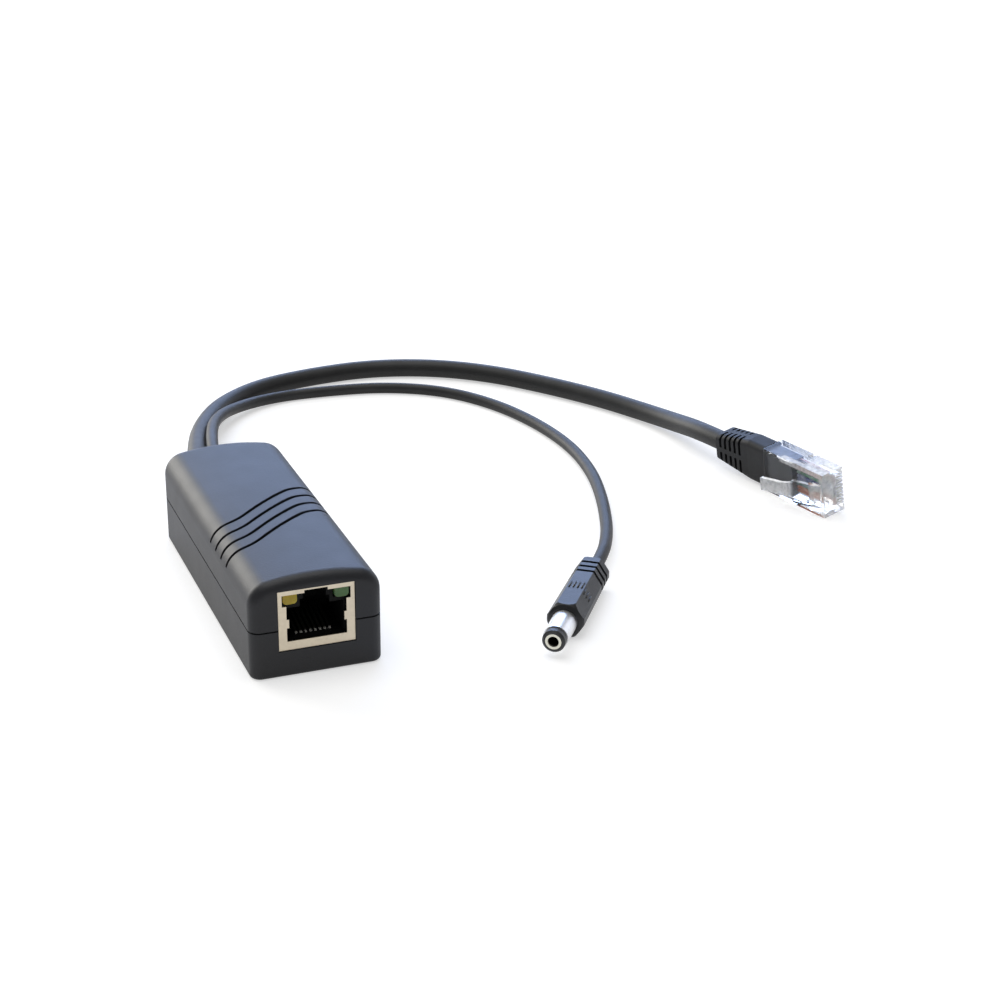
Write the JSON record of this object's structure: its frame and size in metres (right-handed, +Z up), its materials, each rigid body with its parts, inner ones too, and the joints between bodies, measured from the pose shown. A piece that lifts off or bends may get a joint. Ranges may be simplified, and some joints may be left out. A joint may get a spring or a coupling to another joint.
{
  "type": "power over ethernet splitter",
  "caption": "Small two-part plastic housing with a shielded data socket at one end and, at the other, a data cord with a modular plug and a power cord with a round plug.",
  "frame": {"origin": "under the middle of the housing, on the plane it stands on", "axes": "+Y along the housing from the data socket to the cords, +X across it, +Z up"},
  "size_m": [0.1572, 0.1844, 0.022],
  "materials": {
    "case_plastic": "fine matte texture",
    "cord_jacket": "satin",
    "grip_plastic": "satin",
    "shield_metal": "bright plated",
    "insulator_plastic": "matte",
    "contact_gold": "gold plated",
    "lamp_yellow": "translucent",
    "lamp_green": "translucent",
    "board_green": "solder mask",
    "chip_black": "matte",
    "can_aluminium": "satin sleeve",
    "ferrite": "matte",
    "bobbin_plastic": "matte",
    "winding_tape": "tape",
    "wire_copper": "insulated cores",
    "wire_red": "insulated",
    "wire_black": "insulated",
    "clamp_nylon": "nylon",
    "plug_clear": "clear",
    "core_orange": "insulated",
    "core_green": "insulated",
    "core_blue": "insulated",
    "core_brown": "insulated",
    "barrel_nickel": "bright plated"
  },
  "bodies": {
    "root": {"upper_shell": "case_plastic", "lower_shell": "case_plastic", "jack_shield": "shield_metal", "jack_insulator": "insulator_plastic", "jack_contacts": "contact_gold", "yellow_lamp": "lamp_yellow", "green_lamp": "lamp_green", "circuit_board": "board_green", "data_transformer": "chip_black", "input_capacitor": "can_aluminium", "output_capacitor": "can_aluminium", "bridge_rectifiers": "chip_black", "controller_chip": "chip_black", "optocoupler": "chip_black", "rectifier_diode": "chip_black", "output_inductor": "ferrite", "chip_resistors": "chip_black", "transformer_core": "ferrite", "transformer_bobbin": "bobbin_plastic", "transformer_winding": "winding_tape", "ethernet_conductors": "wire_copper", "dc_wire_red": "wire_red", "dc_wire_black": "wire_black", "cord_clamp": "clamp_nylon", "ethernet_cord": "cord_jacket", "dc_cord": "cord_jacket", "modular_plug": "plug_clear", "plug_blades": "contact_gold", "plug_boot": "grip_plastic", "dc_grip": "grip_plastic", "dc_barrel": "barrel_nickel", "dc_tip_insulator": "insulator_plastic", "dc_inner_sleeve": "contact_gold", "plug_wires_orange": "core_orange", "plug_wires_green": "core_green", "plug_wires_blue": "core_blue", "plug_wires_brown": "core_brown"}
  },
  "joints": []
}
